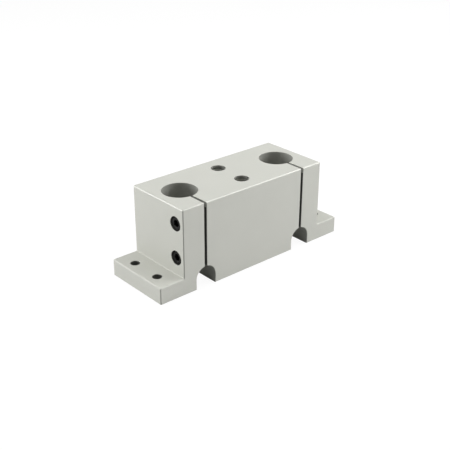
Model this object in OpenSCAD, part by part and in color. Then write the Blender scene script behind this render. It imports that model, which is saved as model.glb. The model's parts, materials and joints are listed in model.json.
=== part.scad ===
// Double shaft support block.
// One aluminium block holds two parallel upright shafts, each in a split bore that two socket
// head screws pull tight. Flanges on both ends bolt the block down.
// X runs along the block, Y from the slotted front face to the back, and Z up from the base.
// The origin is at the centre of the underside.

/* [Block] */
// Length of the body, from one end face to the other
body_length = 96.84; // [92:0.01:130]
// Height of the body above the base plane
body_height = 47.63; // [44:0.01:70]
// Depth of the block, from the slotted front face to the back face
block_depth = 41.28; // [40:0.01:60]
// Radius on the long corners of the section
corner_radius = 0.8; // [0.3:0.1:2]
// Chamfer that breaks the edges of the front and back faces
edge_break = 0.35; // [0.1:0.05:0.6]

/* [Base flanges] */
// Reach of each flange past the body's end face
flange_reach = 15.08; // [13:0.01:25]
// Thickness of each flange
flange_thickness = 9.53; // [6:0.01:12]
// Fillet where a flange meets the body's end face
flange_fillet = 1; // [0.5:0.1:2]
// Diameter of the bolt holes in the flanges
bolt_hole_d = 5.1; // [4:0.1:7]
// Distance from a flange's outer end to its bolt holes
bolt_hole_edge = 6.35; // [5:0.01:7]
// Distance between the two bolt holes of a flange
bolt_hole_pitch = 19.05; // [12:0.01:30]

/* [Clamp bores] */
// Diameter of the shaft that each bore takes
shaft_d = 19.05; // [12:0.01:21]
// Gap all round the shaft while the clamp is open
bore_clearance = 0.025; // [0:0.005:0.1]
// Distance between the two shaft axes
bore_pitch = 68.26; // [60:0.01:74]
// Width of the slot that splits each bore to the front face
slot_width = 1.6; // [1:0.1:2.5]
// Width of the relief arch under each bore
arch_width = 12.6; // [8:0.1:16]
// Height of the relief arch at its crown
arch_height = 11.9; // [9:0.1:12.5]

/* [Clamp screws] */
// Outside diameter of the screw thread
screw_d = 4.17; // [3.5:0.01:4.8]
// Diameter of the screw head
head_d = 6.86; // [6.2:0.01:7.4]
// Height of the screw head
head_height = 4.17; // [3.6:0.01:5]
// Chamfer on the rim of the screw head
head_chamfer = 0.4; // [0.1:0.05:0.6]
// Hexagon socket, across its flats
socket_width = 3.57; // [2.5:0.01:4]
// Depth of the socket's flats
socket_depth = 2.1; // [1.2:0.1:2.4]
// Distance that the head sits below the end face
head_recess = 0.6; // [0.2:0.1:1.5]
// Gap round the head in its counterbore
head_clearance = 0.54; // [0.2:0.01:0.8]
// Gap round the screw where it passes through the clamp's ear
ear_clearance = 0.15; // [0.05:0.01:0.3]
// Gap round the screw in its tapped hole, with both threads left plain
thread_clearance = 0.05; // [0.02:0.01:0.1]
// Length of thread that grips the block past the slot
thread_grip = 8.73; // [6:0.01:12]
// Depth of the tapped hole past the screw's tip
tap_runout = 2.3; // [1:0.1:3]
// Distance from the front face to the screws
screw_edge = 6.35; // [5.8:0.01:7.5]
// Distance from the top face to the upper screw
screw_top_edge = 9.53; // [8:0.01:11]
// Distance between the upper and the lower screw
screw_pitch = 19.05; // [12:0.01:19.5]

/* [Top holes] */
// Diameter of the tap drill of the two holes in the top face
top_hole_d = 7.94; // [4:0.01:10]
// Width of the countersink round each mouth, beyond the hole on each side
top_hole_lead_in = 0.25; // [0.2:0.05:1.5]
// Depth of the holes, to the shoulder of the drill point
top_hole_depth = 22; // [12:0.5:30]
// Distance between the two holes
top_hole_pitch = 19.05; // [12:0.01:26]

/* [Hidden] */
$fn = 96;
// Overrun of a cut past the face that it opens in
OVER = 1;
// Half of a drill's point angle
DRILL_HALF_ANGLE = 59;
// How far each screw's socket has turned when it is tight: left upper, left lower, right upper, right lower
SOCKET_TURNS = [8, 41, 23, 52];
LEFT = -1;
RIGHT = 1;

base_length = body_length + 2 * flange_reach;
bore_d = shaft_d + 2 * bore_clearance;
bolt_hole_x = base_length / 2 - bolt_hole_edge;
screw_y = screw_edge - block_depth / 2;
upper_screw_z = body_height - screw_top_edge;
lower_screw_z = upper_screw_z - screw_pitch;
// Depth of the counterbore, from the end face to the floor that the head seats on
counterbore_depth = head_height + head_recess;
// Thickness of the clamp's ear, from the end face to the slot
ear_thickness = (body_length - bore_pitch - slot_width) / 2;
screw_length = ear_thickness - counterbore_depth + slot_width + thread_grip;
tip_chamfer = screw_d / 8;

// A w by h rectangle on the X axis, with its four corners rounded
module rounded_rectangle(w, h, r) {
    translate([-w / 2 + r, 0]) square([w - 2 * r, h]);
    translate([-w / 2, r]) square([w, h - 2 * r]);
    for (x = [-w / 2 + r, w / 2 - r], y = [r, h - r]) translate([x, y]) circle(r);
}

// A w by h rectangle round the origin, with its four corners cut off
module chamfered_rectangle(w, h, c) {
    polygon([
        for (turn = [0, 180], corner = [[1, 1], [-1, 1]])
            let (s = turn == 0 ? corner : -corner,
                 on_side = [s.x * w / 2, s.y * (h / 2 - c)],
                 on_top = [s.x * (w / 2 - c), s.y * h / 2])
            each s.x * s.y > 0 ? [on_side, on_top] : [on_top, on_side]
    ]);
}

// Stands a section drawn in X and Z up, and draws it out over the given depth
module across_block(depth) {
    translate([0, depth / 2, 0]) rotate([90, 0, 0]) linear_extrude(depth) children();
}

// A bar the depth of the block: rounded long corners, and broken front and back edges
module bar(length, height) {
    intersection() {
        across_block(block_depth) rounded_rectangle(length, height, corner_radius);
        linear_extrude(height) chamfered_rectangle(length, block_depth, edge_break);
        translate([-length / 2, 0, height / 2]) rotate([90, 0, 90]) linear_extrude(length)
            chamfered_rectangle(block_depth, height, edge_break);
    }
}

// The fillet between the top of a flange and the body's end face
module flange_root(side) {
    translate([side * body_length / 2, 0, flange_thickness])
        mirror([side == LEFT ? 1 : 0, 0, 0])
        across_block(block_depth - 2 * edge_break)
        difference() {
            translate([-OVER, -OVER]) square(flange_fillet + OVER);
            translate([flange_fillet, flange_fillet]) circle(flange_fillet);
        }
}

// The round-topped passage under a bore
module relief_arch() {
    crown_z = arch_height - arch_width / 2;
    across_block(block_depth + 2 * OVER) {
        translate([-arch_width / 2, -OVER]) square([arch_width, crown_z + OVER]);
        translate([0, crown_z]) circle(d = arch_width);
    }
}

// A hole drilled down from the origin, with the cone that the drill leaves at its end
module drilled_hole(d, depth) {
    point = d / 2 / tan(DRILL_HALF_ANGLE);
    translate([0, 0, -depth]) cylinder(h = depth + OVER, d = d);
    translate([0, 0, -depth - point]) cylinder(h = point, d1 = 0, d2 = d);
}

// A shaft bore with the slot that splits it and the arch that frees its ears
module split_bore() {
    translate([0, 0, -OVER]) cylinder(h = body_height + 2 * OVER, d = bore_d);
    translate([-slot_width / 2, -block_depth / 2 - OVER, -OVER])
        cube([slot_width, block_depth / 2 + OVER, body_height + 2 * OVER]);
    relief_arch();
}

// Puts what is drawn head up at the origin into an end face, at a screw's place
module at_clamp_screw(side, z) {
    translate([side * body_length / 2, screw_y, z]) rotate([0, side * 90, 0]) children();
}

// The counterbore, the clearance hole through the ear and the tapped hole past the slot
module clamp_screw_hole() {
    tap_depth = ear_thickness + slot_width + thread_grip + tap_runout;
    translate([0, 0, -counterbore_depth])
        cylinder(h = counterbore_depth + OVER, d = head_d + 2 * head_clearance);
    translate([0, 0, -ear_thickness - slot_width / 2])
        cylinder(h = ear_thickness, d = screw_d + 2 * ear_clearance);
    drilled_hole(screw_d + 2 * thread_clearance, tap_depth);
}

// A tapped hole in the top face, with its countersunk mouth
module top_hole() {
    drilled_hole(top_hole_d, top_hole_depth);
    translate([0, 0, -top_hole_lead_in])
        cylinder(h = top_hole_lead_in + OVER, d1 = top_hole_d, d2 = top_hole_d + 2 * (top_hole_lead_in + OVER));
}

module block() {
    color([0.8, 0.8, 0.76])
    difference() {
        union() {
            bar(body_length, body_height);
            bar(base_length, flange_thickness);
            for (side = [LEFT, RIGHT]) flange_root(side);
        }
        for (side = [LEFT, RIGHT]) {
            translate([side * bore_pitch / 2, 0, 0]) split_bore();
            for (z = [lower_screw_z, upper_screw_z]) at_clamp_screw(side, z) clamp_screw_hole();
            for (y = [-1, 1] * bolt_hole_pitch / 2) translate([side * bolt_hole_x, y, -OVER])
                cylinder(h = flange_thickness + 2 * OVER, d = bolt_hole_d);
        }
        for (y = [-1, 1] * top_hole_pitch / 2) translate([0, y, body_height]) top_hole();
    }
}

// A socket head cap screw, with its head down to the seat at the origin and its shank below
module cap_screw() {
    rotate_extrude() polygon([
        [0, -screw_length],
        [screw_d / 2 - tip_chamfer, -screw_length],
        [screw_d / 2, -screw_length + tip_chamfer],
        [screw_d / 2, 0],
        [head_d / 2, 0],
        [head_d / 2, head_height - head_chamfer],
        [head_d / 2 - head_chamfer, head_height],
        [0, head_height]
    ]);
}

// The hexagon socket, cut down from the top of the head, with the cone at its floor
module hexagon_socket() {
    corner_d = socket_width / cos(30);
    point = socket_width / 2 / tan(DRILL_HALF_ANGLE);
    translate([0, 0, -socket_depth]) cylinder(h = socket_depth + OVER, d = corner_d, $fn = 6);
    translate([0, 0, -socket_depth - point]) cylinder(h = point, d1 = 0, d2 = socket_width);
}

module clamp_screw(side, z, socket_turn) {
    color([0.13, 0.13, 0.13])
    at_clamp_screw(side, z) translate([0, 0, -counterbore_depth]) difference() {
        cap_screw();
        translate([0, 0, head_height]) rotate(socket_turn) hexagon_socket();
    }
}

module clamp_screw_left_upper() clamp_screw(LEFT, upper_screw_z, SOCKET_TURNS[0]);
module clamp_screw_left_lower() clamp_screw(LEFT, lower_screw_z, SOCKET_TURNS[1]);
module clamp_screw_right_upper() clamp_screw(RIGHT, upper_screw_z, SOCKET_TURNS[2]);
module clamp_screw_right_lower() clamp_screw(RIGHT, lower_screw_z, SOCKET_TURNS[3]);

block();
clamp_screw_left_upper();
clamp_screw_left_lower();
clamp_screw_right_upper();
clamp_screw_right_lower();
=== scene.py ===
import json
import math

import bpy
from mathutils import Matrix, Vector


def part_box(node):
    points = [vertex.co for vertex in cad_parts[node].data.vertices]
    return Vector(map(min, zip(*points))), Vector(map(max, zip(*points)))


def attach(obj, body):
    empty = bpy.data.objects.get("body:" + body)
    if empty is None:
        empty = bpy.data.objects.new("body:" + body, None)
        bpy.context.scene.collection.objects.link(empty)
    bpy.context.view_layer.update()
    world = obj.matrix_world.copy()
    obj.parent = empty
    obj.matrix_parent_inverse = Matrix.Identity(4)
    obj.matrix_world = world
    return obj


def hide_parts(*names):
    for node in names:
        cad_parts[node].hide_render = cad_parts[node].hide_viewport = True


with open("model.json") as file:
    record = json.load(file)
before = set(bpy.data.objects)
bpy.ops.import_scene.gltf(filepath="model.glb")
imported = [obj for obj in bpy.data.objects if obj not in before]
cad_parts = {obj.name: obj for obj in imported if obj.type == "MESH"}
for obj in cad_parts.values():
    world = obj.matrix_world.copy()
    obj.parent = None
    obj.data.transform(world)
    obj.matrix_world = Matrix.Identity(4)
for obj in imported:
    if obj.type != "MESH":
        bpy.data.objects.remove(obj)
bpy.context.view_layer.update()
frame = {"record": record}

# Double shaft support block: the finished looks of the machined block and of its four clamp
# screws, and the stage that they stand on. Lengths are in metres. X runs along the block, Y from
# the slotted front face to the back, and Z up from the underside.

bl_info = {
    "name": "Double shaft support block",
    "version": (1, 0, 0),
    "blender": (4, 5, 0),
    "location": "3D View > Sidebar > Shaft Block",
    "description": "Models the finished shaft support block, its clamp screws and a plain stage",
    "category": "Object",
}

MM = 0.001
LEFT = -1
RIGHT = 1
FRONT = -1
BACK = 1
# How far a cutter runs past the face that it opens in
OVER = 1 * MM
# Closer than this, two points are one
TOUCHING = 0.001 * MM
DRILL_HALF_ANGLE = math.radians(59)
QUARTER_TURN = math.radians(90)
FULL_TURN = math.radians(360)
# Past this angle, an edge shows as an edge
CREASE = math.radians(30)
# Under this angle, two faces are one flat face
FLAT = math.radians(1)
# A face looks along an axis when this much of its normal does
SQUARE_ON = 0.9
# A face looks between two axes when this much of its normal lies along each
SLANTING = 0.5
# A face is upright when less than this much of its normal points up or down
UPRIGHT = 0.1
# Sides of a turned bore and hole, of the turns of both threads, and of a socket's round parts,
# and the ridges of the knurl
BORE_SIDES = 128
HOLE_SIDES = 64
THREAD_SIDES = 48
SMALL_THREAD_SIDES = 32
SOCKET_SIDES = 48
KNURL_RIDGES = 48
# The socket's pilot hole is this share of its width across flats
PILOT_SHARE = 0.97
# The flats of a bore's sides lie this share of its radius, or less, inside it
BORE_SAG = 0.02
# A face with less than this much of its normal pointing up doesn't look up at all
BARELY = 0.05
# Steps in the round of a long edge, and in each quarter of an arch
ROUND_STEPS = 8
ARCH_STEPS = 24

SCREW_NODES = {
    "clamp_screw_left_upper": math.radians(8),
    "clamp_screw_left_lower": math.radians(41),
    "clamp_screw_right_upper": math.radians(23),
    "clamp_screw_right_lower": math.radians(52),
}
# Each soft light's name, turn round the block, angle over the floor, and power in watts
SOFT_LIGHTS = (
    ("low_left_light", -135, 8, 5.3),
    ("high_left_light", -135, 60, 1.7),
    ("overhead_light", 0, 90, 1.95),
    ("low_right_light", 45, 8, 3.1),
    ("right_light", 70, 35, 3.55),
)
LIGHT_DISTANCE = 0.8
LIGHT_SIZE = 0.5
LIT_POINT = Vector((0, 0, 0.02))
# How fine each pattern of the finishes is, in waves for each metre
CLOUD_SCALE = 90
DIE_LINE_SCALE = 2600
SAW_LINE_SCALE = 3200
PATCH_SCALE = 700
GRAIN_SCALE = 9000
# The round floor, and how wide and how low its rolled rim is
FLOOR_RADIUS = 3
FLOOR_SIDES = 96
RIM_WIDTH = 0.1
RIM_DROP = 0.05
# The camera's film is this many millimetres wide, and nothing nearer than this is shown
FILM_WIDTH = 36
NEAREST_SHOWN = 10 * MM
# Painted shade, up to 1 for black: how much darker than outside each cut, and upright edges, are
# painted
PAINTED_SHADES = {
    "bore": 0.25,
    "arch": 0.45,
    "slot": 0.8,
    "slot mouth": 0.4,
    "body hole": 0.82,
    "flange hole": 0.65,
    "top hole": 0.1,
    "top hole mouth": 0.6,
    "upright edge": 0.35,
}
# How much the painted shade in a top hole lessens with each millimetre down from its mouth
PAINTED_SHADE_FALL = 0.25
BLOCK_LOW, BLOCK_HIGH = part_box("block")
SCREW_LOW, SCREW_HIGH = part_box("clamp_screw_left_upper")


def mount(name):
    """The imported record's mount of that name."""
    return next(m for m in frame["record"]["mounts"] if m["name"] == name)


BORE = mount("shaft_bore_right")
BOLTS = mount("flange_bolts")["dims"]
TOP_HOLE = mount("top_tapped_hole_back")


def length(name, description, default):
    """A property that holds a length."""
    return bpy.props.FloatProperty(
        name=name,
        description=description,
        default=default,
        min=0,
        precision=5,
        unit="LENGTH",
        subtype="DISTANCE",
    )


def colour(name, description, default):
    """A property that holds a colour."""
    return bpy.props.FloatVectorProperty(
        name=name, description=description, default=default, min=0, max=1, size=3, subtype="COLOR"
    )


def share(name, description, default):
    """A property that holds a number from 0 to 1."""
    return bpy.props.FloatProperty(
        name=name, description=description, default=default, min=0, max=1, subtype="FACTOR"
    )


class BlockSizes(bpy.types.PropertyGroup):
    """The sizes of the machined block."""

    body_length: length("Body length", "From one end face of the body to the other", 96.84 * MM)
    flange_thickness: length("Flange thickness", "Thickness of each base flange", 9.53 * MM)
    corner_radius: length("Corner radius", "Radius on the long corners of the section", 0.8 * MM)
    foot_radius: length("Foot radius", "Radius on the long edges under the flanges", 0.5 * MM)
    flange_fillet: length("Flange fillet", "Radius where a flange meets an end face", 0.4 * MM)
    edge_break: length("Edge break", "Chamfer on the front and back outlines", 0.4 * MM)
    hole_break: length("Hole break", "Chamfer on the rims of bores, slots and holes", 0.14 * MM)
    bore_radius: length("Bore radius", "Radius of each shaft bore", BORE["dims"]["r_mm"] * MM)
    bore_x: length("Bore place", "Distance from the middle to each shaft axis", BORE["pos_m"][0])
    slot_width: length("Slot width", "Width of the slot that splits each bore", 1.6 * MM)
    slot_mouth: length("Slot mouth", "How far down a slot the light from above reaches", 3 * MM)
    arch_width: length("Arch width", "Width of the relief arch under each bore", 12.6 * MM)
    arch_height: length("Arch height", "Height of the relief arch at its crown", 11.9 * MM)
    bolt_hole_radius: length(
        "Bolt hole radius", "Radius of the flange holes", BOLTS["hole_r_mm"] * MM
    )
    top_hole_radius: length(
        "Top hole radius", "Tap drill radius of the top holes", TOP_HOLE["dims"]["r_mm"] * MM
    )
    top_thread_radius: length(
        "Top thread radius", "Outside radius of the thread in the top holes", 4.763 * MM
    )
    top_thread_pitch: length("Top thread pitch", "Pitch of the top holes' thread", 1.5875 * MM)
    top_thread_overlap: length(
        "Top thread overlap", "How far the thread's cutter reaches into the open hole", 0.3 * MM
    )
    top_hole_depth: length("Top hole depth", "Depth to the shoulder of the drill point", 22 * MM)
    top_hole_plain: length("Top hole plain end", "Length under the thread, left plain", 4 * MM)
    top_hole_lead_in: length("Top hole lead-in", "Countersink round a top hole's mouth", 0.1 * MM)


class ScrewSizes(bpy.types.PropertyGroup):
    """The sizes of the clamp screws and of the holes that they sit in."""

    head_radius: length("Head radius", "Radius of the screw head", 3.43 * MM)
    head_height: length("Head height", "Height of the screw head", 4.17 * MM)
    head_chamfer: length("Head chamfer", "Chamfer on the rim of the head", 0.4 * MM)
    under_head: length("Under head", "Chamfer on the head's lower edge", 0.12 * MM)
    knurl_depth: length("Knurl depth", "Depth of the knurl round the head", 0.09 * MM)
    knurl_run: length("Knurl run", "Height over which the knurl runs out at each end", 0.1 * MM)
    knurl_foot: length("Knurl foot", "From the head's seat to the knurl", 0.35 * MM)
    knurl_top: length("Knurl top", "From the knurl to the head's chamfer", 0.25 * MM)
    socket_width: length("Socket width", "Hexagon socket across its flats", 3.57 * MM)
    socket_depth: length("Socket depth", "Depth of the socket's flats", 2.1 * MM)
    socket_margin: length("Socket margin", "Lead-in past the socket's corners", 0.06 * MM)
    socket_lead_in: length("Socket lead-in", "Depth of the cone round the socket", 0.3 * MM)
    thread_radius: length("Thread radius", "Outside radius of the thread", 2.085 * MM)
    core_radius: length("Core radius", "Radius at the root of the thread", 1.63 * MM)
    thread_pitch: length("Thread pitch", "Pitch of the thread", 0.794 * MM)
    thread_overlap: length("Thread overlap", "How far the ridge is sunk in the core", 0.08 * MM)
    tip_chamfer: length("Tip chamfer", "Chamfer on the screw's tip", 0.35 * MM)
    tip_plain: length("Tip plain end", "From the tip to the start of the thread", 0.55 * MM)
    neck: length("Neck", "From the thread to the head, left plain", 1.3 * MM)
    head_clearance: length("Head clearance", "Gap round the head in its counterbore", 0.54 * MM)
    ear_clearance: length("Ear clearance", "Gap round the screw in the clamp's ear", 0.15 * MM)
    thread_clearance: length("Thread clearance", "Gap round the screw in its thread", 0.05 * MM)
    tap_runout: length("Tap runout", "Depth of the tapped hole past the screw's tip", 2.3 * MM)


class Finishes(bpy.types.PropertyGroup):
    """The colours and the sheen of the two finishes."""

    aluminium_light: colour(
        "Aluminium, light", "Lighter tint of the anodised surface", (0.6, 0.605, 0.557)
    )
    aluminium_dark: colour(
        "Aluminium, dark", "Darker tint of the anodised surface", (0.545, 0.55, 0.504)
    )
    aluminium_metallic: share("Aluminium metallic", "How metallic the anodised surface is", 0.2)
    aluminium_roughness: share("Aluminium roughness", "Roughness of the satin surface", 0.65)
    oxide_light: colour("Black oxide, light", "Lighter tint of the screws", (0.018, 0.018, 0.017))
    oxide_dark: colour("Black oxide, dark", "Darker tint of the screws", (0.008, 0.008, 0.008))
    oxide_roughness: share("Black oxide roughness", "Roughness of the oiled surface", 0.4)


class Stage(bpy.types.PropertyGroup):
    """The camera's place and the level of the light."""

    azimuth: bpy.props.FloatProperty(
        name="Azimuth",
        description="Turn of the camera round the block",
        default=math.radians(-40.964),
        subtype="ANGLE",
    )
    elevation: bpy.props.FloatProperty(
        name="Elevation",
        description="Camera's angle over the floor",
        default=math.radians(25.981),
        subtype="ANGLE",
    )
    distance: length("Distance", "From the camera to what it aims at", 463.3 * MM)
    focal_length: bpy.props.FloatProperty(
        name="Focal length", description="Focal length in mm", default=67.923, min=1, unit="CAMERA"
    )
    aim: bpy.props.FloatVectorProperty(
        name="Aim",
        description="Point that the camera aims at",
        default=(-4.197 * MM, -0.938 * MM, 18.506 * MM),
        size=3,
        subtype="TRANSLATION",
    )
    ambient: share("Ambient", "Level of the light from all round", 0.07)


# ---- Working with operators ----


def put_down():
    """Leaves edit mode and deselects every object."""
    if bpy.context.object and bpy.context.object.mode != "OBJECT":
        bpy.ops.object.mode_set(mode="OBJECT")
    bpy.ops.object.select_all(action="DESELECT")


def take_up(piece):
    """Makes the piece the only selected object, and the active one."""
    put_down()
    piece.select_set(True)
    bpy.context.view_layer.objects.active = piece


def fix_place(piece):
    """Moves the piece's place, turn and scale into its mesh."""
    take_up(piece)
    bpy.ops.object.transform_apply(location=True, rotation=True, scale=True)


def named(name):
    """The object that an operator has just added, with its place in its mesh."""
    piece = bpy.context.object
    piece.name = name
    piece.data.name = name
    fix_place(piece)
    return piece


def pick(piece, kind, test):
    """Selects the piece's vertices, edges or polygons that pass the test, ready in edit mode."""
    take_up(piece)
    kinds = ("vertices", "edges", "polygons")
    for each in kinds:
        elements = getattr(piece.data, each)
        picked = [each == kind and bool(test(element)) for element in elements]
        elements.foreach_set("select", picked)
    bpy.context.tool_settings.mesh_select_mode = [each == kind for each in kinds]
    bpy.ops.object.mode_set(mode="EDIT")


def all_of(element):
    """Passes every element."""
    return True


def ends_of(piece, edge):
    """The two points that an edge joins."""
    return [piece.data.vertices[number].co for number in edge.vertices]


def tidy_faces(piece):
    """Merges doubles and points every face outwards."""
    pick(piece, "vertices", all_of)
    bpy.ops.mesh.remove_doubles(threshold=TOUCHING)
    bpy.ops.mesh.normals_make_consistent(inside=False)
    put_down()


def copy_to(piece, name, place):
    """A copy of the piece with its own mesh, moved and turned as the matrix says."""
    take_up(piece)
    bpy.ops.object.duplicate()
    bpy.context.object.matrix_world = place
    return named(name)


def discard(*pieces):
    """Removes objects that were only needed while modelling."""
    put_down()
    for piece in pieces:
        bpy.data.objects.remove(piece)


def combine(piece, other, operation):
    """Cuts the other shape out of the piece, or joins it on, and discards it."""
    name = other.name
    take_up(piece)
    modifier = piece.modifiers.new(operation.lower(), "BOOLEAN")
    modifier.solver = "EXACT"
    modifier.operation = operation
    modifier.object = other
    bpy.ops.object.modifier_apply(modifier=modifier.name)
    if not piece.data.polygons:
        raise RuntimeError(f"nothing was left of {piece.name} after {name}")
    discard(other)


def turned(name, stations, sides):
    """A shape turned round the Z axis through its stations, each a height and a radius."""
    put_down()
    height, radius = stations[0]
    bpy.ops.mesh.primitive_circle_add(
        vertices=sides, radius=radius, fill_type="NGON", location=(0, 0, height)
    )
    piece = named(name)
    pick(piece, "polygons", all_of)
    for next_height, next_radius in stations[1:]:
        rise = (0, 0, next_height - height)
        bpy.ops.mesh.extrude_region_move(TRANSFORM_OT_translate={"value": rise})
        if next_radius:
            ratio = next_radius / radius
            bpy.ops.transform.resize(value=(ratio, ratio, 1), center_override=(0, 0, next_height))
        else:
            bpy.ops.mesh.merge(type="CENTER")
        height, radius = next_height, next_radius
    tidy_faces(piece)
    return piece


def helix(name, outer_radius, inner_radius, pitch, start, end, steps):
    """A right-hand thread's ridge round the Z axis, with a 60 degree crest at the outer radius."""
    # A triangle's corner lies two thirds of its height from its middle
    reach = (outer_radius - inner_radius) * 2 / 3
    put_down()
    bpy.ops.mesh.primitive_circle_add(
        vertices=3, radius=reach, fill_type="NOTHING", location=(outer_radius - reach, 0, start)
    )
    stood_up = Matrix.Rotation(QUARTER_TURN, 3, "X")
    crest_out = Matrix.Rotation(-QUARTER_TURN, 3, "Z")
    bpy.context.object.rotation_euler = (stood_up @ crest_out).to_euler()
    piece = named(name)
    screw = piece.modifiers.new("thread", "SCREW")
    screw.axis = "Z"
    screw.angle = FULL_TURN
    screw.screw_offset = pitch
    screw.iterations = math.ceil((end - start) / pitch)
    screw.steps = screw.render_steps = steps
    bpy.ops.object.modifier_apply(modifier=screw.name)
    pick(piece, "edges", all_of)
    bpy.ops.mesh.fill_holes(sides=3)
    tidy_faces(piece)
    return piece


def show_edges(piece):
    """Smooths the rounds, keeps the edges crisp and leaves the flats flat."""
    take_up(piece)
    bpy.ops.object.shade_smooth_by_angle(angle=CREASE)
    weighted = piece.modifiers.new("flats", "WEIGHTED_NORMAL")
    weighted.keep_sharp = True
    bpy.ops.object.modifier_apply(modifier=weighted.name)
    put_down()


# ---- The block ----


def is_long_edge(piece, edge, corners):
    """True for an edge along Y that stands on one of the corners, each a distance and a height."""
    a, b = ends_of(piece, edge)
    along_y = abs(a.x - b.x) < TOUCHING and abs(a.z - b.z) < TOUCHING
    return along_y and any(
        abs(abs(a.x) - x) < TOUCHING and abs(a.z - z) < TOUCHING for x, z in corners
    )


def is_outline_edge(piece, edge, out_y):
    """True for an edge of the front or back outline, which lies that far from the middle."""
    a, b = ends_of(piece, edge)
    return abs(a.y - b.y) < TOUCHING and abs(abs(a.y) - out_y) < TOUCHING


def round_long_edges(piece, corners, radius):
    """Rounds or fills the long edges on the given corners of the section."""
    pick(piece, "edges", lambda edge: is_long_edge(piece, edge, corners))
    bpy.ops.mesh.bevel(offset=radius, segments=ROUND_STEPS, affect="EDGES")


def make_blank(sizes):
    """The extruded bar, cut to depth: body, flanges, round corners and broken outlines."""
    depth = BLOCK_HIGH.y - BLOCK_LOW.y
    height = BLOCK_HIGH.z
    body_x = sizes.body_length / 2
    base_x = BLOCK_HIGH.x
    flange_z = sizes.flange_thickness
    put_down()
    bpy.ops.mesh.primitive_cube_add(
        size=1, location=(0, 0, height / 2), scale=(sizes.body_length, depth, height)
    )
    blank = named("machined_block")
    pick(blank, "polygons", all_of)
    bpy.ops.mesh.bisect(plane_co=(0, 0, flange_z), plane_no=(0, 0, 1))
    for side in (LEFT, RIGHT):
        reach = (side * (base_x - body_x), 0, 0)
        pick(
            blank,
            "polygons",
            lambda face: face.normal.x * side > SQUARE_ON and face.center.z < flange_z,
        )
        bpy.ops.mesh.extrude_region_move(TRANSFORM_OT_translate={"value": reach})
    pick(blank, "polygons", all_of)
    bpy.ops.mesh.dissolve_limited(angle_limit=FLAT)
    round_long_edges(blank, [(body_x, height), (base_x, flange_z)], sizes.corner_radius)
    round_long_edges(blank, [(base_x, 0)], sizes.foot_radius)
    round_long_edges(blank, [(body_x, flange_z)], sizes.flange_fillet)
    pick(blank, "edges", lambda edge: is_outline_edge(blank, edge, depth / 2))
    bpy.ops.mesh.bevel(offset=sizes.edge_break, segments=1, affect="EDGES")
    tidy_faces(blank)
    return blank


def make_arch_cutter(sizes):
    """The cutter of a relief arch, flared at both ends to break the arch's rim."""
    depth = BLOCK_HIGH.y - BLOCK_LOW.y
    radius = sizes.arch_width / 2
    spring_z = sizes.arch_height - radius
    foot_z = -2 * OVER
    tall = sizes.arch_height - foot_z
    straight = depth / 2 - sizes.hole_break
    put_down()
    bpy.ops.mesh.primitive_cube_add(
        size=1, location=(0, 0, foot_z + tall / 2), scale=(sizes.arch_width, 2 * straight, tall)
    )
    cutter = named("arch_cutter")
    top_corners = [(radius, sizes.arch_height)]
    pick(cutter, "edges", lambda edge: is_long_edge(cutter, edge, top_corners))
    bpy.ops.mesh.bevel(offset=radius, segments=ARCH_STEPS, affect="EDGES")
    tidy_faces(cutter)
    flare = sizes.hole_break + OVER
    grown = 1 + flare / radius
    for side in (FRONT, BACK):
        pick(cutter, "polygons", lambda face: face.normal.y * side > SQUARE_ON)
        bpy.ops.mesh.extrude_region_move(TRANSFORM_OT_translate={"value": (0, side * flare, 0)})
        middle = (0, side * (straight + flare), spring_z)
        bpy.ops.transform.resize(value=(grown, 1, grown), center_override=middle)
    tidy_faces(cutter)
    return cutter


def make_slot_cutter(name, sizes, front_y, top_z, opening):
    """A cutter of a clamp slot, flared on the side of its opening to break the rims there."""
    deep = -front_y
    tall = top_z + OVER
    flare = sizes.hole_break + OVER
    grown = 1 + 2 * flare / sizes.slot_width
    put_down()
    bpy.ops.mesh.primitive_cube_add(
        size=1,
        location=(0, front_y + deep / 2, -OVER + tall / 2),
        scale=(sizes.slot_width, deep, tall),
    )
    cutter = named(name)
    pick(cutter, "polygons", all_of)
    # This split parts the slot's walls where their painted shade changes at the slot's mouth
    bpy.ops.mesh.bisect(plane_co=(0, 0, BLOCK_HIGH.z - sizes.slot_mouth), plane_no=(0, 0, 1))
    pick(cutter, "polygons", lambda face: face.normal.dot(opening) > SQUARE_ON)
    bpy.ops.mesh.extrude_region_move(TRANSFORM_OT_translate={"value": tuple(opening * flare)})
    bpy.ops.transform.resize(value=(grown, 1, 1), center_override=(0, 0, 0))
    tidy_faces(cutter)
    return cutter


def make_slot_cutters(sizes):
    """Two cutters of a clamp slot: one breaks its upright rims, and one its rims on the top."""
    height = BLOCK_HIGH.z
    front_y = BLOCK_LOW.y
    rim = sizes.hole_break
    forwards = Vector((0, -1, 0))
    upwards = Vector((0, 0, 1))
    return [
        make_slot_cutter("slot_cutter_front", sizes, front_y + rim, height + OVER, forwards),
        make_slot_cutter("slot_cutter_top", sizes, front_y - OVER, height - rim, upwards),
    ]


def through_hole(name, radius, height, rim, sides):
    """The cutter of an upright hole right through, flared at both ends to break its rims."""
    flared = radius + rim + OVER
    stations = [(-OVER, flared), (rim, radius), (height - rim, radius), (height + OVER, flared)]
    return turned(name, stations, sides)


def drill_point(radius):
    """How far a drill's point reaches past its shoulder."""
    return radius / math.tan(DRILL_HALF_ANGLE)


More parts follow.
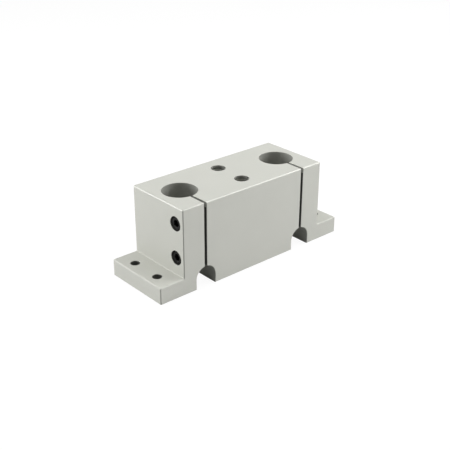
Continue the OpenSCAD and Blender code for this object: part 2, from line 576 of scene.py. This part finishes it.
def make_clamp_hole_cutter(sizes, screws):
    """The cutter of a clamp screw's hole, from the end face inwards along -Z."""
    screw_depth = SCREW_HIGH.x + sizes.body_length / 2
    head_seat = SCREW_LOW.x + sizes.body_length / 2 + screws.head_height
    counterbore = screws.head_radius + screws.head_clearance
    clearance = screws.thread_radius + screws.ear_clearance
    tapped = screws.thread_radius + screws.thread_clearance
    slot_middle = sizes.body_length / 2 - sizes.bore_x
    tap_end = screw_depth + screws.tap_runout
    rim = sizes.hole_break
    stations = [
        (OVER, counterbore + rim + OVER),
        (-rim, counterbore),
        (-head_seat, counterbore),
        (-head_seat, clearance),
        (-slot_middle, clearance),
        (-slot_middle, tapped),
        (-tap_end, tapped),
        (-tap_end - drill_point(tapped), 0),
    ]
    return turned("clamp_hole_cutter", stations, HOLE_SIDES)


def make_top_hole_cutter(sizes):
    """The cutter of a tapped hole in the top face, from its mouth down along -Z."""
    radius = sizes.top_hole_radius
    lead_in = sizes.top_hole_lead_in
    stations = [
        (OVER, radius + lead_in + OVER),
        (-lead_in, radius),
        (-sizes.top_hole_depth, radius),
        (-sizes.top_hole_depth - drill_point(radius), 0),
    ]
    return turned("top_hole_cutter", stations, HOLE_SIDES)


def cut_at_each(block, cutter, places):
    """Cuts a copy of the cutter out of the block at each place, and discards the cutter."""
    for place in places:
        combine(block, copy_to(cutter, cutter.name + "_copy", place), "DIFFERENCE")
    discard(cutter)


def end_face_places(x_out):
    """Where the clamp screws' axes cross the planes x_out from the middle, with +Z outwards."""
    places = {}
    for node in SCREW_NODES:
        low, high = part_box(node)
        middle = (low + high) / 2
        side = LEFT if middle.x < 0 else RIGHT
        outwards = Matrix.Rotation(side * QUARTER_TURN, 4, "Y")
        places[node] = Matrix.Translation((side * x_out, middle.y, middle.z)) @ outwards
    return places


def is_inside(face, sizes):
    """True for a face that lies deeper in the body or a flange than the rounds of their edges."""
    place = face.center
    skin = sizes.corner_radius
    deep = BLOCK_LOW.y + skin < place.y < BLOCK_HIGH.y - skin
    in_body = is_in_body(face, sizes) and place.z < BLOCK_HIGH.z - skin
    in_flange = abs(place.x) < BLOCK_HIGH.x - skin and place.z < sizes.flange_thickness - skin
    return deep and place.z > skin and (in_body or in_flange)


def is_in_body(face, sizes):
    """True for a face between the body's two end faces, past the rounds of their edges."""
    return abs(face.center.x) < sizes.body_length / 2 - sizes.corner_radius


def painted_shade_for(face, sizes):
    """The painted shade of a face: most in the holes and slots, some on upright edges, none
    elsewhere.
    """
    place = face.center
    normal = face.normal
    depth = BLOCK_HIGH.z - place.z
    from_top_hole = math.hypot(place.x, abs(place.y) - TOP_HOLE["pos_m"][1])
    if depth > TOUCHING and from_top_hole < sizes.top_thread_radius:
        return max(PAINTED_SHADES["top hole"], PAINTED_SHADES["top hole mouth"] - PAINTED_SHADE_FALL * depth / MM)
    if not is_inside(face, sizes):
        # Outside the cuts, upright edge breaks get a painted shade that stands in for a dark
        # reflection
        on_edge = abs(normal.z) < UPRIGHT and min(abs(normal.x), abs(normal.y)) > SLANTING
        return PAINTED_SHADES["upright edge"] if on_edge else 0.0
    from_axis = abs(abs(place.x) - sizes.bore_x)
    if place.y < 0 and from_axis < sizes.slot_width and abs(normal.x) > SQUARE_ON:
        return PAINTED_SHADES["slot mouth" if depth < sizes.slot_mouth else "slot"]
    if from_axis < sizes.arch_width / 2 + TOUCHING and place.z < sizes.arch_height + TOUCHING:
        return PAINTED_SHADES["arch"]
    off_bore = abs(math.hypot(from_axis, place.y) - sizes.bore_radius)
    if off_bore < BORE_SAG * sizes.bore_radius:
        return PAINTED_SHADES["bore"]
    return PAINTED_SHADES["body hole" if is_in_body(face, sizes) else "flange hole"]


def has_level_marks(face, sizes):
    """True on the sawn front and back faces and in the bores, whose tool marks run level."""
    place = face.center
    from_bore = math.hypot(abs(place.x) - sizes.bore_x, place.y)
    sawn = abs(face.normal.y) > SQUARE_ON and abs(abs(place.y) - BLOCK_HIGH.y) < TOUCHING
    bored = abs(face.normal.z) < UPRIGHT and from_bore < sizes.bore_radius + TOUCHING
    return sawn or bored


def is_rubbed(face, sizes):
    """True on the rounds and chamfers round the top of the body, which handling has smoothed."""
    place = face.center
    skin = sizes.corner_radius
    at_side = abs(place.x) > sizes.body_length / 2 - skin or abs(place.y) > BLOCK_HIGH.y - skin
    tilted = BARELY < face.normal.z < 1 - BARELY
    return at_side and place.z > BLOCK_HIGH.z - skin and tilted


def mark_faces(block, sizes):
    """Gives each face its marks: level tool marks, its painted shade, and how rubbed it is"""
    tests = {"level_marks": has_level_marks, "in_cut": painted_shade_for, "rubbed": is_rubbed}
    for name, test in tests.items():
        block.data.attributes.new(name, "FLOAT", "FACE")
        values = [float(test(face, sizes)) for face in block.data.polygons]
        block.data.attributes[name].data.foreach_set("value", values)


def model_block(sizes, screws):
    """The one machined block: blank, arches, bores, slots, holes and threads."""
    block = make_blank(sizes)
    height = BLOCK_HIGH.z
    at_bores = [Matrix.Translation((side * sizes.bore_x, 0, 0)) for side in (LEFT, RIGHT)]
    rim = sizes.hole_break
    cut_at_each(block, make_arch_cutter(sizes), at_bores)
    bore = through_hole("bore_cutter", sizes.bore_radius, height, rim, BORE_SIDES)
    cut_at_each(block, bore, at_bores)
    for cutter in make_slot_cutters(sizes):
        cut_at_each(block, cutter, at_bores)
    bolt_x = BOLTS["spacing_x_mm"] * MM / 2
    bolt_y = BOLTS["spacing_y_mm"] * MM / 2
    at_bolts = [Matrix.Translation((x, y, 0)) for x in (-bolt_x, bolt_x) for y in (-bolt_y, bolt_y)]
    bolt_hole = through_hole(
        "bolt_hole_cutter", sizes.bolt_hole_radius, sizes.flange_thickness, rim, HOLE_SIDES
    )
    cut_at_each(block, bolt_hole, at_bolts)
    at_clamp_screws = end_face_places(sizes.body_length / 2).values()
    cut_at_each(block, make_clamp_hole_cutter(sizes, screws), at_clamp_screws)
    top_y = TOP_HOLE["pos_m"][1]
    at_top_holes = [Matrix.Translation((0, y, height)) for y in (-top_y, top_y)]
    cut_at_each(block, make_top_hole_cutter(sizes), at_top_holes)
    groove = helix(
        "top_thread_cutter",
        sizes.top_thread_radius,
        sizes.top_hole_radius - sizes.top_thread_overlap,
        sizes.top_thread_pitch,
        -sizes.top_hole_depth + sizes.top_hole_plain,
        -sizes.top_thread_pitch / 2,
        THREAD_SIDES,
    )
    cut_at_each(block, groove, at_top_holes)
    tidy_faces(block)
    mark_faces(block, sizes)
    show_edges(block)
    return block


# ---- The clamp screws ----


def knurl(screw, sizes, low, high, ridges):
    """Presses the head's side in along every second upright line between two heights."""
    step = FULL_TURN / (2 * ridges)

    def in_groove(vertex):
        on_side = math.hypot(vertex.co.x, vertex.co.y) > sizes.head_radius - TOUCHING
        line = round(math.atan2(vertex.co.y, vertex.co.x) / step)
        return on_side and low - TOUCHING < vertex.co.z < high + TOUCHING and line % 2

    pick(screw, "vertices", in_groove)
    ratio = 1 - sizes.knurl_depth / sizes.head_radius
    bpy.ops.transform.resize(value=(ratio, ratio, 1), center_override=(0, 0, 0))


def cut_socket(screw, sizes):
    """Cuts the hexagon socket with its pilot hole and its lead-in down from the top of the head."""
    floor_z = -sizes.socket_depth
    corner = sizes.socket_width / 2 / math.cos(FULL_TURN / 12)
    hexagon = turned("socket_cutter", [(OVER, corner), (floor_z, corner)], 6)
    corner_up = Matrix.Rotation(QUARTER_TURN, 4, "Z")
    combine(screw, copy_to(hexagon, "socket_cut", corner_up), "DIFFERENCE")
    discard(hexagon)
    drill = PILOT_SHARE * sizes.socket_width / 2
    pilot_stations = [(OVER, drill), (floor_z, drill), (floor_z - drill_point(drill), 0)]
    combine(screw, turned("pilot_cutter", pilot_stations, SOCKET_SIDES), "DIFFERENCE")
    mouth = corner + sizes.socket_margin
    cone = sizes.socket_lead_in
    lead_in = turned("lead_in_cutter", [(OVER, mouth + OVER), (-cone, mouth - cone)], SOCKET_SIDES)
    combine(screw, lead_in, "DIFFERENCE")


def model_screw(sizes):
    """A socket head cap screw along Z, with the top of its head at the origin."""
    seat = -sizes.head_height
    tip = SCREW_LOW.x - SCREW_HIGH.x
    head = sizes.head_radius
    core = sizes.core_radius
    chamfer = sizes.head_chamfer
    under_head = sizes.under_head
    knurl_low = seat + sizes.knurl_foot
    knurl_high = -chamfer - sizes.knurl_top
    stations = [
        (tip, core - sizes.tip_chamfer),
        (tip + sizes.tip_chamfer, core),
        (seat, core),
        (seat, head - under_head),
        (seat + under_head, head),
        (knurl_low - sizes.knurl_run, head),
        (knurl_low, head),
        (knurl_high, head),
        (knurl_high + sizes.knurl_run, head),
        (-chamfer, head),
        (0, head - chamfer),
    ]
    screw = turned("cap_screw", stations, 2 * KNURL_RIDGES)
    knurl(screw, sizes, knurl_low, knurl_high, KNURL_RIDGES)
    ridge = helix(
        "screw_thread",
        sizes.thread_radius,
        core - sizes.thread_overlap,
        sizes.thread_pitch,
        tip + sizes.tip_plain,
        seat - sizes.neck,
        SMALL_THREAD_SIDES,
    )
    combine(screw, ridge, "UNION")
    cut_socket(screw, sizes)
    tidy_faces(screw)
    show_edges(screw)
    return screw


# ---- Finishes ----


class Signal:
    """A value inside a material. Sums on it add Math nodes."""

    def __init__(self, shading, socket):
        self.shading = shading
        self.socket = socket

    def math(self, operation, *values):
        """A Math node on these values."""
        sockets = dict(enumerate(values))
        return self.shading.signal("ShaderNodeMath", {"operation": operation}, sockets)

    def __add__(self, other):
        return self.math("ADD", self, other)

    def __radd__(self, other):
        return self.math("ADD", other, self)

    def __sub__(self, other):
        return self.math("SUBTRACT", self, other)

    def __rsub__(self, other):
        return self.math("SUBTRACT", other, self)

    def __mul__(self, other):
        return self.math("MULTIPLY", self, other)

    def __rmul__(self, other):
        return self.math("MULTIPLY", other, self)

    def highest(self, other):
        """The higher of two values."""
        return self.math("MAXIMUM", self, other)


class Shading:
    """The node tree of a material or of the world."""

    def __init__(self, owner):
        owner.use_nodes = True
        self.tree = owner.node_tree
        self.tree.nodes.clear()

    def node(self, kind, settings=None, sockets=None):
        """Adds a node: first its settings, and then the values or links of its sockets."""
        node = self.tree.nodes.new(kind)
        for name, value in (settings or {}).items():
            setattr(node, name, value)
        for key, value in (sockets or {}).items():
            if isinstance(value, Signal):
                self.tree.links.new(value.socket, node.inputs[key])
            else:
                node.inputs[key].default_value = value
        return node

    def signal(self, kind, settings=None, sockets=None, output=0):
        """A new node's output, as a value to reckon with."""
        return Signal(self, self.node(kind, settings, sockets).outputs[output])

    def stretched(self, place, scale):
        """The place, scaled along each axis."""
        return self.signal("ShaderNodeVectorMath", {"operation": "MULTIPLY"}, {0: place, 1: scale})

    def noise(self, place, scale, detail=2.0, roughness=0.5):
        """Soft noise from 0 to 1."""
        sockets = {"Vector": place, "Scale": scale, "Detail": detail, "Roughness": roughness}
        return self.signal("ShaderNodeTexNoise", {"normalize": True}, sockets)

    def mix(self, factor, first, second):
        """A colour between two colours."""
        sockets = {0: factor, 6: (*first, 1), 7: (*second, 1)}
        return self.signal("ShaderNodeMix", {"data_type": "RGBA"}, sockets, output=2)

    def mark(self, name):
        """The value of a face's mark of that name."""
        return self.signal("ShaderNodeAttribute", {"attribute_name": name}, output="Fac")

    def bump(self, height, strength, distance):
        """A normal that makes the height stand out."""
        sockets = {"Height": height, "Strength": strength, "Distance": distance}
        return self.signal("ShaderNodeBump", None, sockets)

    def finish(self, **surfaces):
        """Links the last nodes to the output."""
        self.node("ShaderNodeOutputMaterial", None, surfaces)


def ray_is(shading, kind):
    """1 for a ray of that kind, and 0 for any other."""
    return shading.signal("ShaderNodeLightPath", output=f"Is {kind} Ray")


def background_rays(shading):
    """1 for a ray that shows the background: straight, mirrored or through glass."""
    straight_or_mirrored = ray_is(shading, "Camera").highest(ray_is(shading, "Glossy"))
    return straight_or_mirrored.highest(ray_is(shading, "Transmission"))


def anodised_aluminium(finishes):
    """Clear-anodised aluminium: satin, with faint die lines, saw lines, an etched grain and painted
    shade.
    """
    material = bpy.data.materials.new("anodised_aluminium_satin")
    shading = Shading(material)
    place = shading.signal("ShaderNodeTexCoord", output="Object")
    level_marks = shading.mark("level_marks")
    # The lines run along Y on what the die has drawn, and level where a saw or a bar has cut
    along_die = shading.stretched(place, (1, 0.012, 1))
    along_level = shading.stretched(place, (0.02, 0.02, 1))
    clouds = shading.noise(place, CLOUD_SCALE, detail=3)
    die_lines = shading.noise(along_die, DIE_LINE_SCALE, detail=3, roughness=0.6)
    level_lines = shading.noise(along_level, SAW_LINE_SCALE, detail=3, roughness=0.6)
    lines = die_lines + (level_lines - die_lines) * level_marks
    grain = shading.noise(place, GRAIN_SCALE, detail=1)
    tint = 0.55 * clouds + 0.3 * lines + 0.15 * grain
    uneven = finishes.aluminium_roughness + 0.10 * (clouds - 0.5) + 0.10 * (lines - 0.5)
    smoother = 0.15 * level_marks + 0.25 * shading.mark("rubbed")
    satin = shading.signal(
        "ShaderNodeBsdfPrincipled",
        None,
        {
            "Base Color": shading.mix(tint, finishes.aluminium_dark, finishes.aluminium_light),
            "Metallic": finishes.aluminium_metallic,
            "Roughness": uneven - smoother,
            "Normal": shading.bump(0.6 * lines + 0.4 * grain, 0.25, 0.02 * MM),
        },
    )
    # Painted shade: in the cuts, where little light reaches, and on upright edge breaks, a black
    # that shines back nothing is mixed in
    painted_shade_black = shading.signal(
        "ShaderNodeBsdfPrincipled",
        None,
        {"Base Color": (0, 0, 0, 1), "Roughness": 1, "Specular IOR Level": 0},
    )
    sockets = {0: shading.mark("in_cut"), 1: satin, 2: painted_shade_black}
    shading.finish(Surface=shading.signal("ShaderNodeMixShader", None, sockets))
    return material


def black_oxide_steel(finishes):
    """Black oxide over steel, lightly oiled, a little uneven."""
    material = bpy.data.materials.new("black_oxide_steel_oiled")
    shading = Shading(material)
    place = shading.signal("ShaderNodeTexCoord", output="Object")
    patches = shading.noise(place, PATCH_SCALE, detail=3)
    grain = shading.noise(place, GRAIN_SCALE, detail=2)
    roughness = finishes.oxide_roughness + 0.16 * (patches - 0.5) + 0.10 * (grain - 0.5)
    surface = shading.signal(
        "ShaderNodeBsdfPrincipled",
        None,
        {
            "Base Color": shading.mix(patches, finishes.oxide_dark, finishes.oxide_light),
            "Metallic": 0.8,
            "Specular IOR Level": 0.2,
            "Roughness": roughness,
            "Normal": shading.bump(grain, 0.3, 0.01 * MM),
        },
    )
    shading.finish(Surface=surface)
    return material


def coat(piece, material):
    """Gives the whole piece one material."""
    piece.data.materials.clear()
    piece.data.materials.append(material)


# ---- The stage ----


def white_floor():
    """Pale to light, white to look at with a faint shadow, and dark in mirrors near the block."""
    material = bpy.data.materials.new("pale_floor")
    shading = Shading(material)
    pale = shading.signal("ShaderNodeBsdfDiffuse", None, {"Color": (0.7, 0.7, 0.7, 1)})
    faint = shading.signal("ShaderNodeBsdfDiffuse", None, {"Color": (0.1, 0.1, 0.1, 1)})
    # Painted shadow: in reflections the glow goes black where the block closes over the floor, as
    # ambient occlusion finds, while to the camera it stays white
    openness = shading.signal(
        "ShaderNodeAmbientOcclusion", {"samples": 8}, {"Distance": 20 * MM}, output="AO"
    )
    in_the_open = shading.signal(
        "ShaderNodeMapRange",
        {"interpolation_type": "SMOOTHSTEP"},
        {"Value": openness, "From Min": 0.25, "From Max": 0.5},
    )
    lit = in_the_open.highest(ray_is(shading, "Camera"))
    white = shading.mix(lit, (0, 0, 0), (1, 1, 1))
    glow = shading.signal("ShaderNodeEmission", None, {"Color": white, "Strength": 0.94})
    shown = shading.signal("ShaderNodeAddShader", None, {0: glow, 1: faint})
    sockets = {0: background_rays(shading), 1: pale, 2: shown}
    shading.finish(Surface=shading.signal("ShaderNodeMixShader", None, sockets))
    return material


def light_world(ambient):
    """A world that looks white and lights the object at the ambient level."""
    world = bpy.data.worlds.new("white_room")
    bpy.context.scene.world = world
    shading = Shading(world)
    strength = ambient + (1 - ambient) * background_rays(shading)
    sockets = {"Color": (1, 1, 1, 1), "Strength": strength}
    room = shading.signal("ShaderNodeBackground", None, sockets)
    shading.node("ShaderNodeOutputWorld", None, {"Surface": room})


def towards(azimuth, elevation):
    """The direction at that turn round the block and that angle over the floor."""
    spread = math.cos(elevation)
    return Vector((math.sin(azimuth) * spread, -math.cos(azimuth) * spread, math.sin(elevation)))


def look_back(piece, direction):
    """Turns a lamp or the camera to look back along the direction that it stands in."""
    piece.rotation_mode = "QUATERNION"
    piece.rotation_quaternion = (-direction).to_track_quat("-Z", "Y")


def soft_light(name, azimuth, elevation, power):
    """A square soft light that faces the block."""
    direction = towards(math.radians(azimuth), math.radians(elevation))
    put_down()
    bpy.ops.object.light_add(type="AREA", location=LIT_POINT + direction * LIGHT_DISTANCE)
    lamp = bpy.context.object
    lamp.name = name
    lamp.data.name = name
    lamp.data.size = LIGHT_SIZE
    lamp.data.energy = power
    look_back(lamp, direction)


def lay_floor():
    """A wide round floor with a rolled rim."""
    put_down()
    bpy.ops.mesh.primitive_circle_add(
        vertices=FLOOR_SIDES, radius=FLOOR_RADIUS, fill_type="NGON", location=(0, 0, 0)
    )
    floor = named("floor")
    pick(floor, "polygons", all_of)
    bpy.ops.mesh.inset(thickness=RIM_WIDTH)
    flat_radius = FLOOR_RADIUS - RIM_WIDTH / 2
    pick(floor, "vertices", lambda vertex: math.hypot(vertex.co.x, vertex.co.y) > flat_radius)
    bpy.ops.transform.translate(value=(0, 0, -RIM_DROP))
    put_down()
    coat(floor, white_floor())


def set_camera(stage):
    """The camera, at its place round the block."""
    back = towards(stage.azimuth, stage.elevation)
    put_down()
    bpy.ops.object.camera_add(location=Vector(stage.aim) + back * stage.distance)
    camera = bpy.context.object
    camera.name = "camera"
    look_back(camera, back)
    camera.data.sensor_width = FILM_WIDTH
    camera.data.lens = stage.focal_length
    camera.data.clip_start = NEAREST_SHOWN
    bpy.context.scene.camera = camera


# ---- Operators ----


class SHAFT_BLOCK_OT_make_block(bpy.types.Operator):
    """Model the machined block with its bores, slots, arches and holes"""

    bl_idname = "shaft_block.make_block"
    bl_label = "Make Block"

    def execute(self, context):
        scene = context.scene
        block = model_block(scene.shaft_block_sizes, scene.shaft_screw_sizes)
        coat(block, anodised_aluminium(scene.shaft_block_finishes))
        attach(block, "block")
        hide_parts("block")
        return {"FINISHED"}


class SHAFT_BLOCK_OT_make_clamp_screws(bpy.types.Operator):
    """Model one socket head cap screw and set a copy in each clamp screw's place"""

    bl_idname = "shaft_block.make_clamp_screws"
    bl_label = "Make Clamp Screws"

    def execute(self, context):
        scene = context.scene
        screw = model_screw(scene.shaft_screw_sizes)
        coat(screw, black_oxide_steel(scene.shaft_block_finishes))
        for node, place in end_face_places(-SCREW_LOW.x).items():
            tightened = Matrix.Rotation(SCREW_NODES[node], 4, "Z")
            piece = copy_to(screw, node.replace("clamp_screw", "socket_screw"), place @ tightened)
            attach(piece, node)
            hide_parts(node)
        discard(screw)
        return {"FINISHED"}


class SHAFT_BLOCK_OT_set_stage(bpy.types.Operator):
    """Lay the floor, hang the lights and place the camera"""

    bl_idname = "shaft_block.set_stage"
    bl_label = "Set Stage"

    def execute(self, context):
        stage = context.scene.shaft_block_stage
        lay_floor()
        light_world(stage.ambient)
        for name, azimuth, elevation, power in SOFT_LIGHTS:
            soft_light(name, azimuth, elevation, power)
        set_camera(stage)
        context.scene.view_settings.view_transform = "Standard"
        return {"FINISHED"}


class SHAFT_BLOCK_PT_sidebar(bpy.types.Panel):
    """Sizes, finishes and the steps of making the block"""

    bl_label = "Shaft Support Block"
    bl_idname = "SHAFT_BLOCK_PT_sidebar"
    bl_space_type = "VIEW_3D"
    bl_region_type = "UI"
    bl_category = "Shaft Block"

    def draw(self, context):
        layout = self.layout
        for operator in OPERATORS:
            layout.operator(operator.bl_idname)
        for group in GROUPS:
            box = layout.box()
            settings = getattr(context.scene, group)
            for name in settings.bl_rna.properties.keys():
                if name not in ("rna_type", "name"):
                    box.prop(settings, name)


OPERATORS = (
    SHAFT_BLOCK_OT_make_block,
    SHAFT_BLOCK_OT_make_clamp_screws,
    SHAFT_BLOCK_OT_set_stage,
)
GROUPS = {
    "shaft_block_sizes": BlockSizes,
    "shaft_screw_sizes": ScrewSizes,
    "shaft_block_finishes": Finishes,
    "shaft_block_stage": Stage,
}


def register():
    """Registers the classes and gives the scene their settings."""
    for group in (*GROUPS.values(), *OPERATORS, SHAFT_BLOCK_PT_sidebar):
        bpy.utils.register_class(group)
    for name, group in GROUPS.items():
        setattr(bpy.types.Scene, name, bpy.props.PointerProperty(type=group))


def unregister():
    """Takes the settings and the classes away again."""
    for name in GROUPS:
        delattr(bpy.types.Scene, name)
    for group in (SHAFT_BLOCK_PT_sidebar, *reversed(OPERATORS), *reversed(GROUPS.values())):
        bpy.utils.unregister_class(group)


def main():
    """Makes every piece and the stage."""
    register()
    bpy.ops.shaft_block.make_block()
    bpy.ops.shaft_block.make_clamp_screws()
    bpy.ops.shaft_block.set_stage()


if __name__ == "__main__":
    main()
